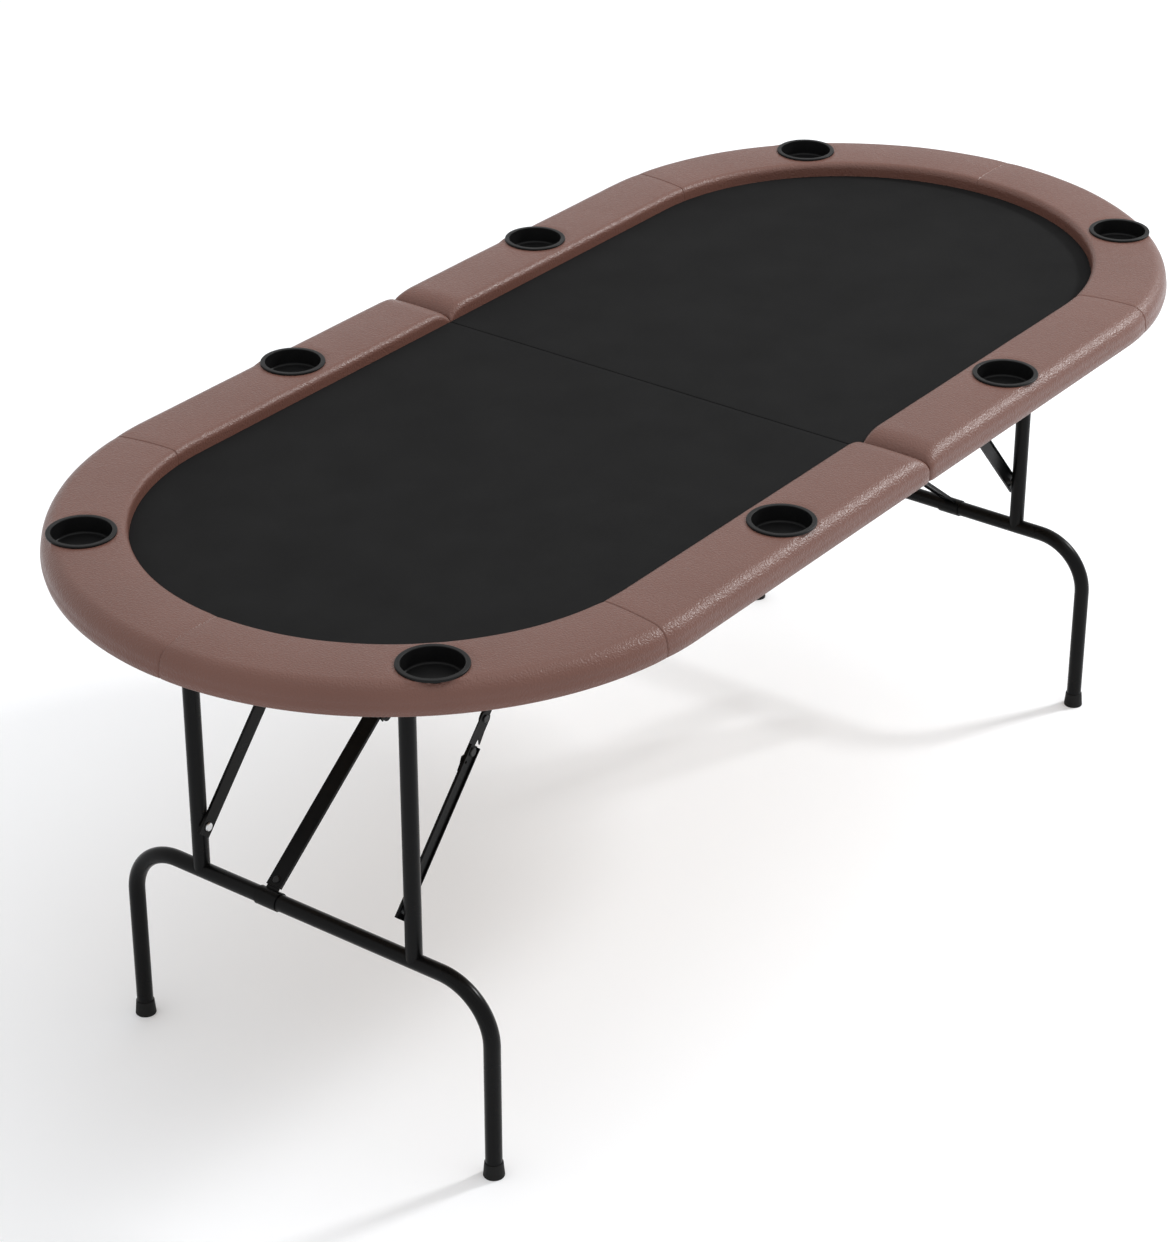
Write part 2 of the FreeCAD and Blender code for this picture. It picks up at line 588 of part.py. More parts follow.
def screw_places():
    """Board screws of half a: x, y and the face under which the head lies."""
    places = []
    for y in (SADDLE_Y, -SADDLE_Y):
        for dx in (-SADDLE_SCREW_DX, SADDLE_SCREW_DX):
            places.append((-LEG_X + dx, y, BOARD_BOTTOM_Z - SADDLE_T))
    anchor_x = -LEG_X + SIDE.run
    for y in (SIDE_BASE_MID_Y, -SIDE_BASE_MID_Y):
        for dx in (-SIDE_SCREW_DX, SIDE_SCREW_DX):
            places.append((anchor_x + dx, y, BOARD_BOTTOM_Z - SHEET_T))
    centre_x = -LEG_X + CENTRE.run
    for dx in (-CENTRE_SCREW_DX, CENTRE_SCREW_DX):
        places.append((centre_x + dx, CENTRE_Y, BOARD_BOTTOM_Z - SHEET_T))
    return places


def hinge_screw_places():
    """Batten screws of one half's hinge leaves."""
    x = -(LEAF_NEAR_X + LEAF_FAR_X) / 2
    places = []
    for hinge_y in (HINGE_Y, -HINGE_Y):
        for dy in HINGE_SCREW_DYS:
            places.append((x, hinge_y + dy, BATTEN_BOTTOM_Z - LEAF_T))
    return places


def leg_saddles():
    """Straps that hold the pivot tube up against the board and let it turn."""
    bore_r = TUBE_R + RUN_FIT
    outer_r = bore_r + SADDLE_T
    y0 = SADDLE_Y - SADDLE_W / 2
    y1 = SADDLE_Y + SADDLE_W / 2
    wing_z = BOARD_BOTTOM_Z - SADDLE_T
    outer = rod_y(outer_r, -LEG_X, y0, y1, PIVOT_Z)
    cheeks = box(-LEG_X - outer_r, -LEG_X + outer_r, y0, y1, PIVOT_Z, BOARD_BOTTOM_Z)
    wings = box(-LEG_X - SADDLE_WING, -LEG_X + SADDLE_WING, y0, y1, wing_z, BOARD_BOTTOM_Z)
    strap = fuse_all([outer, cheeks, wings])
    strap = strap.cut(rod_y(bore_r, -LEG_X, y0 - 1, y1 + 1, PIVOT_Z))
    strap = strap.cut(box(-LEG_X - bore_r, -LEG_X + bore_r, y0 - 1, y1 + 1, PIVOT_Z, BOARD_BOTTOM_Z + 1))
    return Part.makeCompound(both_sides(strap))


def bracket_ear(x, y0):
    """Ear that hangs from a bracket's base, with a round end about the pivot."""
    ear = box(x - EAR_R, x + EAR_R, y0, y0 + EAR_T, ANCHOR_Z, BOARD_BOTTOM_Z)
    return ear.fuse(rod_y(EAR_R, x, y0, y0 + EAR_T, ANCHOR_Z))


def side_bracket():
    """Angle bracket for one upper side link, with its pivot pin."""
    x = -LEG_X + SIDE.run
    base_z = BOARD_BOTTOM_Z - SHEET_T
    near_y = SIDE_BASE_MID_Y - SIDE_BASE_HALF_W
    ear_y = EAR_FACE_Y - EAR_T
    cap_y = UPPER_FACE_Y + AXIAL_GAP
    base = box(x - SIDE_BASE_HALF_L, x + SIDE_BASE_HALF_L, near_y, EAR_FACE_Y, base_z, BOARD_BOTTOM_Z)
    ear = bracket_ear(x, ear_y)
    pin = rod_y(PIN_R, x, ear_y, cap_y, ANCHOR_Z)
    cap = rod_y(PIVOT_HEAD_R, x, cap_y, cap_y + PIN_CAP_H, ANCHOR_Z)
    return fuse_all([base, ear, pin, cap])


def centre_bracket():
    """Clevis bracket for the centre brace's bars, with its pivot pin."""
    x = -LEG_X + CENTRE.run
    base_z = BOARD_BOTTOM_Z - SHEET_T
    y0 = CENTRE_Y - CENTRE_HALF_W
    y1 = CENTRE_Y + CENTRE_HALF_W
    reach = CENTRE_HALF_W + PLANE_GAP + BAR_T + AXIAL_GAP
    pieces = [box(x - CENTRE_BASE_HALF_L, x + CENTRE_BASE_HALF_L, y0, y1, base_z, BOARD_BOTTOM_Z)]
    pieces += [bracket_ear(x, y0), bracket_ear(x, y1 - EAR_T)]
    pieces.append(rod_y(PIN_R, x, CENTRE_Y - reach, CENTRE_Y + reach, ANCHOR_Z))
    for end_y in (CENTRE_Y - reach - PIN_CAP_H, CENTRE_Y + reach):
        pieces.append(rod_y(PIVOT_HEAD_R, x, end_y, end_y + PIN_CAP_H, ANCHOR_Z))
    return fuse_all(pieces)


def brace_brackets():
    """The three brackets of half a, each with holes for its screws."""
    shanks = [screw_shank(*place) for place in screw_places()]
    brackets = both_sides(side_bracket()) + [centre_bracket()]
    return Part.makeCompound([cut_all(b, shanks) for b in brackets])


def knuckle_spans():
    """Ends along Y of each knuckle, counted from one end of a hinge at y = 0."""
    pitch = 2 * HINGE_HALF_L / KNUCKLES
    for index in range(KNUCKLES):
        start = -HINGE_HALF_L + index * pitch
        yield index, start + KNUCKLE_GAP / 2, start + pitch - KNUCKLE_GAP / 2


def hinge_leaves(owner_parity):
    """Both hinge leaves of a half on the -X side, with that half's share of the knuckles."""
    leaves = []
    for hinge_y in (HINGE_Y, -HINGE_Y):
        plate = box(-LEAF_FAR_X, -LEAF_NEAR_X, hinge_y - HINGE_HALF_L, hinge_y + HINGE_HALF_L,
                    BATTEN_BOTTOM_Z - LEAF_T, BATTEN_BOTTOM_Z)
        pieces = [plate]
        for index, start, stop in knuckle_spans():
            if index % 2 != owner_parity:
                continue
            y0 = hinge_y + start
            y1 = hinge_y + stop
            pieces.append(box(-LEAF_NEAR_X - 1, 0, y0, y1, BATTEN_BOTTOM_Z - LEAF_T, BATTEN_BOTTOM_Z))
            pieces.append(rod_y(KNUCKLE_R, 0, y0, y1, FOLD_Z))
        leaf = fuse_all(pieces)
        reach = HINGE_HALF_L + 1
        bore = rod_y(HINGE_PIN_R + RUN_FIT, 0, hinge_y - reach, hinge_y + reach, FOLD_Z)
        shanks = [screw_shank(*place) for place in hinge_screw_places()]
        leaves.append(cut_all(leaf.cut(bore), shanks))
    return Part.makeCompound(leaves)


def hinge_pins():
    """Pins of the two fold hinges, with a round head at each end."""
    pins = []
    for hinge_y in (HINGE_Y, -HINGE_Y):
        reach = HINGE_HALF_L + AXIAL_GAP
        far = reach + HINGE_HEAD_H
        pin = rod_y(HINGE_PIN_R, 0, hinge_y - far, hinge_y + far, FOLD_Z)
        head_low = rod_y(HINGE_HEAD_R, 0, hinge_y - far, hinge_y - reach, FOLD_Z)
        head_high = rod_y(HINGE_HEAD_R, 0, hinge_y + reach, hinge_y + far, FOLD_Z)
        pins.append(fuse_all([pin, head_low, head_high]))
    return Part.makeCompound(pins)


def fold_batten():
    """Wooden bar under the board's inner edge, which sets the fold hinges below the legs."""
    bar = box(-BATTEN_NEAR_X - BATTEN_W, -BATTEN_NEAR_X, -BATTEN_HALF_L, BATTEN_HALF_L,
              BATTEN_BOTTOM_Z, BOARD_BOTTOM_Z)
    long_edges = [e for e in bar.Edges if e.Length > 2 * BATTEN_HALF_L - 1
                  and e.CenterOfMass.z < BOARD_BOTTOM_Z - 1]
    bar = bar.makeFillet(1.5, long_edges)
    return cut_all(bar, batten_shanks() + [screw_shank(*place) for place in hinge_screw_places()])


def batten_shanks():
    return [screw_shank(BATTEN_X, y, BATTEN_BOTTOM_Z, BATTEN_SCREW_DEPTH) for y in BATTEN_SCREW_YS]


def board():
    """Half of the table's board, with pilot holes for every screw."""
    slab = half_stadium(BOARD_R, BOARD_BOTTOM_Z, BOARD_TOP_Z)
    return cut_all(slab, batten_shanks() + [screw_shank(*place) for place in screw_places()])


def cloth():
    """Playing cloth on its thin foam, inside the rail."""
    return half_stadium(RAIL_INNER_R, BOARD_TOP_Z, CLOTH_TOP_Z)


def underside_screws():
    screws = [screw(*place) for place in screw_places() + hinge_screw_places()]
    screws += [screw(BATTEN_X, y, BATTEN_BOTTOM_Z, BATTEN_SCREW_DEPTH) for y in BATTEN_SCREW_YS]
    return Part.makeCompound(screws)


# ---- assembly ------------------------------------------------------------------------------
def half_nodes():
    """Every node of half a except its hinge leaves."""
    panels = rail_panels()
    nodes = {
        "board": board(),
        "playing_cloth": cloth(),
        "fold_batten": fold_batten(),
        "brace_brackets": brace_brackets(),
        "underside_screws": underside_screws(),
        "leg_u_tube": u_tube(),
        "leg_uprights": uprights(),
        "leg_pivot_tube": tube_y(-LEG_X, -PIVOT_TUBE_END_Y, PIVOT_TUBE_END_Y, PIVOT_Z),
        "foot_caps": foot_caps(),
        "leg_bolts": leg_bolts(),
        "side_brace_uppers": Part.makeCompound(both_sides(side_upper())),
        "side_brace_lower_left": side_lower_channel(),
        "side_brace_lower_right": mirror_y(side_lower_channel()),
        "side_brace_tongues": Part.makeCompound(both_sides(side_tongue())),
        "side_brace_rivets": side_rivets(),
        "centre_brace_upper": centre_upper(),
        "centre_brace_lower": centre_lower(),
        "centre_brace_sleeve": centre_sleeve(),
        "centre_brace_rivets": centre_rivets(),
    }
    saddle_shanks = [screw_shank(*place) for place in screw_places()]
    nodes["leg_saddles"] = cut_all(leg_saddles(), saddle_shanks)
    for place, (x, y) in cup_centres().items():
        cup = cup_holder(x, y)
        nodes["rail_%s_left" % place] = panels[place]
        nodes["rail_%s_right" % place] = mirror_y(panels[place])
        nodes["cup_%s_left" % place] = cup
        nodes["cup_%s_right" % place] = mirror_y(cup)
    return nodes


def turned(shape):
    """Copy turned half a turn about Z, from half a to half b."""
    copy = shape.copy()
    copy.rotate(vec(0, 0, 0), UP, 180)
    return copy


def export(name, shape):
    shape.exportStep("parts/%s.step" % name)
    solids = shape.Solids
    volume = sum(s.Volume for s in solids) / 1000
    print("%-28s solids %2d volume %9.1f cm3 valid %s" % (name, len(solids), volume, shape.isValid()))


for node_name, node_shape in half_nodes().items():
    export(node_name + "_a", node_shape)
    export(node_name + "_b", turned(node_shape))
export("hinge_leaves_a", hinge_leaves(0))
export("hinge_leaves_b", turned(hinge_leaves(1)))
export("hinge_pins", hinge_pins())

for brace_name, frame in (("side", SIDE), ("centre", CENTRE)):
    lower_end = math.degrees(math.atan2(ANCHOR_Z - PIVOT_Z, frame.lower))
    print("%s brace: board pivot x %.3f, lower link %.3f, whole %.3f, folded tilt %.3f"
          % (brace_name, -LEG_X + frame.run, frame.lower, frame.length, lower_end))
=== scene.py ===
import json
import math

import bmesh
import bpy
from mathutils import Matrix, Vector, noise


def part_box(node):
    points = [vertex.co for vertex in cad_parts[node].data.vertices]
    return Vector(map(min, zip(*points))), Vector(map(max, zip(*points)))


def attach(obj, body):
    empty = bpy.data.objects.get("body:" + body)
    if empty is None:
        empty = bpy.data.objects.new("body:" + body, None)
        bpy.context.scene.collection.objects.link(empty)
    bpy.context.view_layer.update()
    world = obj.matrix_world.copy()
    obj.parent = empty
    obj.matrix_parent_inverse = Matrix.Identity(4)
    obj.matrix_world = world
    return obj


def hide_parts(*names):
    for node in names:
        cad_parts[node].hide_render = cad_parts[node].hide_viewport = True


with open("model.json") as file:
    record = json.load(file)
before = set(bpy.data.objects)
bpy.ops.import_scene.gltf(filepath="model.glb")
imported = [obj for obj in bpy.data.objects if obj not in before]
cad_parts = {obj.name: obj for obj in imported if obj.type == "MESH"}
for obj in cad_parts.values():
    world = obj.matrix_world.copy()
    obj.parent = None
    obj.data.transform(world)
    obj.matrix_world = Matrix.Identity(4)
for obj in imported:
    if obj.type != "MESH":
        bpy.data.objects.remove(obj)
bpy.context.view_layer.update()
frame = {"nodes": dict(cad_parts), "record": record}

# ---- sizes read from the frame, in metres ----------------------------------------------------
cloth_low, cloth_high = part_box("playing_cloth_a")
side_low, side_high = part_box("rail_side_left_a")
board_low, board_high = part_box("board_a")
SEAM_ANGLE = math.radians(7.5)       # from the start of the round end to the panels' seam
HALF_GAP = -side_high[0]             # from the fold plane to each half
INNER_R = cloth_high[1]
END_X = -cloth_low[0] - INNER_R      # centre of each rounded end, from the middle
MEAN_R = (INNER_R + side_high[1]) / 2
OUTER_R = side_high[1]
RAIL_TOP = side_high[2]
RAIL_LOW = side_low[2]
BOARD_R = board_high[1]
BOARD_LOW = board_low[2]
BOARD_TOP = board_high[2]
CLOTH_TOP = cloth_high[2]

# ---- the padded rail's section ---------------------------------------------------------------
LAP_R = 0.415                        # the cover is turned under the board up to here
INNER_ROUND = 0.0095
OUTER_ROUND = 0.024
LOWER_ROUND = 0.004
CROWN = 0.0013                       # the pad's top stands this much proud in the middle
CROWN_POWER = 0.8                    # below 1, the crown is flatter in the middle
CROWN_FULL_HEIGHT = 0.023            # a pad lower than this has less crown
SIDE_SWELL = 0.0012
SIDE_SWELL_RUN = 0.02                # the swell fades out over this length at the fold
INNER_ROUND_SHARE = 0.7              # of the pad's height at most
OUTER_ROUND_POWER = 1.7              # how fast the outer round shrinks as the pad gets lower
FOLD_DROP = 0.0212                   # the pad rounds down by this much where the halves meet
FOLD_RUN = 0.038
FOLD_SIDE_DROP = 0.0030
FOLD_SIDE_RUN = 0.010
STATION = 0.0045                     # spacing of the sections along the rail
FEWEST_STATIONS = 8
END_RUN = 0.045                      # near a panel's ends the sections are closer together
END_STATIONS = 20
END_CROWDING = 2.2
SEAM_DEPTH = 0.0011
SEAM_HALF_W = 0.0009
PULL_DEPTH = 0.0005                  # the seam also pulls the foam down on both its sides
PULL_HALF_W = 0.010
INNER_SIDE_STEPS = 4
CROWN_STEPS = 18
OUTER_SIDE_STEPS = 5
INNER_ROUND_POINTS = 8
OUTER_ROUND_POINTS = 14
LOWER_ROUND_POINTS = 5
PAD_CREASE = 38                      # in degrees: sharper edges are not smoothed over

# ---- the cover's unevenness, and the cups in it ----------------------------------------------
COVER_FROM = 0.004                   # above the board, so that the pad's foot stays true
WAVE_HEIGHT = 0.00022
BROAD_WAVES = (16.0, 30.0)           # across the table and upward, in waves a metre
FINE_WAVES = (41.0, 60.0)
FINE_SHARE = 0.5
FINE_SHIFT = 7.0
CUP_HOLE_R = 0.040
CUP_HOLE_SIDES = 96
CUP_CUT_DEPTH = 0.06
CUP_CUT_MIDDLE = 0.020               # above the board
CUP_DISH = 0.011                     # the cover dips to the cup's flange over this width
CUP_TOP_BAND = 0.004                 # only this much of the pad's top dips
CUP_FLANGE_GAP = 0.0001

HALVES = ("a", "b")
TURN_B = Matrix.Rotation(math.pi, 4, "Z")
MIRROR_Y = Matrix.Scale(-1.0, 4, Vector((0.0, 1.0, 0.0)))


def smooth_step(value):
    value = min(1.0, max(0.0, value))
    return value * value * (3.0 - 2.0 * value)


def rounded_drop(run, drop, distance):
    """How far an edge that rounds down over a run has dropped at this distance from its end."""
    if distance >= run:
        return 0.0
    return drop * (1.0 - math.sqrt(1.0 - (1.0 - distance / run) ** 2))


def arc_points(centre, radius, start, stop, count):
    """Points on an arc in the section's plane, angles in degrees from outward towards up."""
    points = []
    for step in range(count):
        angle = math.radians(start + (stop - start) * step / (count - 1))
        points.append((centre[0] + radius * math.cos(angle), centre[1] + radius * math.sin(angle)))
    return points


def section(seam_distance, fold_distance):
    """Closed loop of (radius, height) round the pad at one station, always with as many points."""
    pinch = SEAM_DEPTH * math.exp(-(seam_distance / SEAM_HALF_W) ** 2)
    pinch += PULL_DEPTH * math.exp(-(seam_distance / PULL_HALF_W) ** 2)
    top = RAIL_TOP - rounded_drop(FOLD_RUN, FOLD_DROP, fold_distance) - pinch
    inner = INNER_R + 0.5 * pinch
    outer = OUTER_R - rounded_drop(FOLD_SIDE_RUN, FOLD_SIDE_DROP, fold_distance) - pinch
    foot = RAIL_LOW + LOWER_ROUND
    height = top - BOARD_TOP
    inner_round = min(INNER_ROUND, INNER_ROUND_SHARE * height)
    outer_round = OUTER_ROUND * ((top - foot) / (RAIL_TOP - foot)) ** OUTER_ROUND_POWER
    crown = CROWN * smooth_step(height / CROWN_FULL_HEIGHT)
    points = []
    for step in range(INNER_SIDE_STEPS):
        points.append((inner, BOARD_TOP + (height - inner_round) * step / INNER_SIDE_STEPS))
    centre = (inner + inner_round, top - inner_round)
    points += arc_points(centre, inner_round, 180, 90, INNER_ROUND_POINTS)
    first = inner + inner_round
    last = outer - outer_round
    for step in range(1, CROWN_STEPS):
        share = step / CROWN_STEPS
        rise = crown * math.sin(math.pi * share) ** CROWN_POWER
        points.append((first + (last - first) * share, top + rise))
    points += arc_points((last, top - outer_round), outer_round, 90, 0, OUTER_ROUND_POINTS)
    side_top = top - outer_round
    for step in range(1, OUTER_SIDE_STEPS):
        share = step / OUTER_SIDE_STEPS
        swell = SIDE_SWELL * math.sin(math.pi * share) * smooth_step(fold_distance / SIDE_SWELL_RUN)
        points.append((outer + swell, side_top + (foot - side_top) * share))
    points += arc_points((outer - LOWER_ROUND, foot), LOWER_ROUND, 0, -90, LOWER_ROUND_POINTS)
    points += [(LAP_R, RAIL_LOW), (LAP_R, BOARD_LOW), (BOARD_R, BOARD_LOW), (BOARD_R, BOARD_TOP)]
    return points


def loft(name, rings):
    """Closed solid through rings of as many points each, with a flat face at both ends."""
    mesh = bpy.data.meshes.new(name)
    bm = bmesh.new()
    loops = [[bm.verts.new(point) for point in ring] for ring in rings]
    count = len(loops[0])
    for low, high in zip(loops, loops[1:]):
        for index in range(count):
            following = (index + 1) % count
            bm.faces.new((low[index], low[following], high[following], high[index]))
    bm.faces.new(loops[0][::-1])
    bm.faces.new(loops[-1])
    bmesh.ops.recalc_face_normals(bm, faces=bm.faces)
    bm.to_mesh(mesh)
    bm.free()
    piece = bpy.data.objects.new(name, mesh)
    bpy.context.scene.collection.objects.link(piece)
    return piece


def stations(length):
    """Distances along a panel, closer together near its ends."""
    fine = [END_RUN * (step / (END_STATIONS - 1)) ** END_CROWDING for step in range(END_STATIONS)]
    count = max(FEWEST_STATIONS, round((length - 2 * fine[-1]) / STATION))
    middle = [fine[-1] + (length - 2 * fine[-1]) * step / count for step in range(1, count)]
    return fine + middle + [length - value for value in reversed(fine)]


def cup_circle(node):
    """Centre and outer radius of a cup's flange."""
    low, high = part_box(node)
    return (low[0] + high[0]) / 2, (low[1] + high[1]) / 2, (high[0] - low[0]) / 2


def wave_at(point, waves, shift=0.0):
    """Smooth unevenness of the cover, between about -1 and 1."""
    across, upward = waves
    return noise.noise(Vector((point.x * across + shift, point.y * across, point.z * upward)))


def shape_cover(piece, cup):
    """Small unevenness of the foam, and a dip of the cover where the cup's flange presses it."""
    cup_x, cup_y, flange_r = cup
    for vertex in piece.data.vertices:
        point = vertex.co
        if point.z < BOARD_TOP + COVER_FROM:
            continue
        wave = wave_at(point, BROAD_WAVES) + FINE_SHARE * wave_at(point, FINE_WAVES, FINE_SHIFT)
        point.z += WAVE_HEIGHT * wave
        distance = math.hypot(point.x - cup_x, point.y - cup_y)
        near = smooth_step((flange_r + CUP_DISH - distance) / CUP_DISH)
        if point.z > RAIL_TOP - CUP_TOP_BAND:
            point.z += (RAIL_TOP - CUP_FLANGE_GAP - point.z) * near


def cut_hole(piece, cup):
    """The round hole in which a cup sits, cut through the pad."""
    bpy.ops.mesh.primitive_cylinder_add(vertices=CUP_HOLE_SIDES, radius=CUP_HOLE_R, depth=CUP_CUT_DEPTH,
                                        location=(cup[0], cup[1], BOARD_TOP + CUP_CUT_MIDDLE))
    cutter = bpy.context.active_object
    modifier = piece.modifiers.new("hole", "BOOLEAN")
    modifier.operation = "DIFFERENCE"
    modifier.solver = "EXACT"
    modifier.object = cutter
    bpy.context.view_layer.objects.active = piece
    bpy.ops.object.modifier_apply(modifier=modifier.name)
    bpy.data.objects.remove(cutter, do_unlink=True)


def rail_point(along, r, z):
    """Point of half a's left rail, this far along its middle line from the round end's start."""
    if along <= 0.0:
        return Vector((-END_X - along, r, z))
    angle = along / MEAN_R
    return Vector((-END_X - r * math.sin(angle), r * math.cos(angle), z))


def side_rings():
    """From the seam, a little way round the end, along the side to the fold."""
    seam = SEAM_ANGLE * MEAN_R
    length = seam + END_X - HALF_GAP
    rings = []
    for distance in stations(length):
        loop = section(distance, length - distance)
        rings.append([rail_point(seam - distance, r, z) for r, z in loop])
    return rings


def end_rings():
    """From the seam round to the tip of the table, where the next seam is."""
    seam = SEAM_ANGLE * MEAN_R
    length = MEAN_R * math.pi / 2 - seam
    rings = []
    for distance in stations(length):
        loop = section(min(distance, length - distance), 1.0)
        rings.append([rail_point(seam + distance, r, z) for r, z in loop])
    return rings


def smooth_shade(piece, degrees):
    """Smooth shading, except over edges sharper than this."""
    piece.data.shade_smooth()
    piece.data.set_sharp_from_angle(angle=math.radians(degrees))


def placed(piece, transform):
    """Moves a piece's mesh, so that its object stays at the origin."""
    piece.data.transform(transform)
    if transform.determinant() < 0:
        piece.data.flip_normals()
    return piece


def rail_pads():
    """The eight sewn panels of the rail, each with its cup hole."""
    made = []
    for place, rings in (("side", side_rings()), ("end", end_rings())):
        for half in HALVES:
            for hand in ("left", "right"):
                key = "%s_%s_%s" % (place, hand, half)
                transform = MIRROR_Y if hand == "right" else Matrix.Identity(4)
                if half == "b":
                    transform = TURN_B @ transform
                pad = placed(loft("rail_pad_" + key, rings), transform)
                cup = cup_circle("cup_" + key)
                shape_cover(pad, cup)
                cut_hole(pad, cup)
                smooth_shade(pad, PAD_CREASE)
                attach(pad, "half_" + half)
                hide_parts("rail_" + key)
                made.append(pad)
    return made


# ---- the playing cloth -------------------------------------------------------------------------
CLOTH_T = 0.0006
CLOTH_FOLD_R = 0.0013                # the cloth turns down over the board's edge at the fold
CLOTH_EDGE = 0.0002                  # kept clear of the rail
CLOTH_FOLD_STEPS = 6
CLOTH_SIDE_STEPS = 60
CLOTH_END_STEPS = 48
CLOTH_END_ANGLE = 89.3               # the cloth's last line is short, but not a point
CLOTH_ACROSS = 64
CLOTH_RIPPLE = 0.00008
CLOTH_WAVES = 22.0                   # ripples a metre
CLOTH_WAVE_LAYER = 3.0
CLOTH_CREASE = 50


def cloth_columns():
    """(x, half width, height) of each line across the cloth of half a, from the fold outward."""
    radius = INNER_R - CLOTH_EDGE
    columns = [(-HALF_GAP, radius, BOARD_TOP + CLOTH_T)]
    for step in range(CLOTH_FOLD_STEPS + 1):
        angle = math.radians(90 * step / CLOTH_FOLD_STEPS)
        x = -HALF_GAP - CLOTH_FOLD_R * (1 - math.cos(angle))
        columns.append((x, radius, CLOTH_TOP - CLOTH_FOLD_R * (1 - math.sin(angle))))
    start = columns[-1][0]
    for step in range(1, CLOTH_SIDE_STEPS + 1):
        columns.append((start + (-END_X - start) * step / CLOTH_SIDE_STEPS, radius, CLOTH_TOP))
    for step in range(1, CLOTH_END_STEPS + 1):
        angle = math.radians(CLOTH_END_ANGLE * step / CLOTH_END_STEPS)
        columns.append((-END_X - radius * math.sin(angle), radius * math.cos(angle), CLOTH_TOP))
    return columns


def cloth_mesh(name):
    """Upper face of half a's cloth, with faint ripples where it lies on the board."""
    mesh = bpy.data.meshes.new(name)
    bm = bmesh.new()
    rows = []
    for x, width, z in cloth_columns():
        row = []
        for step in range(CLOTH_ACROSS + 1):
            y = width * (2 * step / CLOTH_ACROSS - 1)
            place = Vector((x * CLOTH_WAVES, y * CLOTH_WAVES, CLOTH_WAVE_LAYER))
            ripple = CLOTH_RIPPLE * noise.noise(place)
            row.append(bm.verts.new((x, y, z + (ripple if z == CLOTH_TOP else 0.0))))
        rows.append(row)
    for low, high in zip(rows, rows[1:]):
        for index in range(CLOTH_ACROSS):
            bm.faces.new((low[index], high[index], high[index + 1], low[index + 1]))
    bmesh.ops.recalc_face_normals(bm, faces=bm.faces)
    bm.to_mesh(mesh)
    bm.free()
    if mesh.polygons[len(mesh.polygons) // 2].normal.z < 0:
        mesh.flip_normals()
    return mesh


def thicken(piece, thickness):
    """Gives a sheet its thickness, below the face it was made from."""
    solid = piece.modifiers.new("thickness", "SOLIDIFY")
    solid.thickness = thickness
    solid.offset = -1.0
    bpy.context.view_layer.objects.active = piece
    bpy.ops.object.modifier_apply(modifier=solid.name)


def playing_cloths():
    """The cloth of each half, stretched flat on its board."""
    made = []
    for half in HALVES:
        mesh = cloth_mesh("cloth_" + half)
        cloth = bpy.data.objects.new("table_cloth_" + half, mesh)
        bpy.context.scene.collection.objects.link(cloth)
        if half == "b":
            mesh.transform(TURN_B)
        thicken(cloth, CLOTH_T)
        smooth_shade(cloth, CLOTH_CREASE)
        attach(cloth, "half_" + half)
        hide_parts("playing_cloth_" + half)
        made.append(cloth)
    return made


# ---- materials ---------------------------------------------------------------------------------
# Sockets of the colour mix node, which has several of the same name.
MIX_FACTOR, MIX_FIRST, MIX_SECOND, MIX_COLOUR = 0, 6, 7, 2


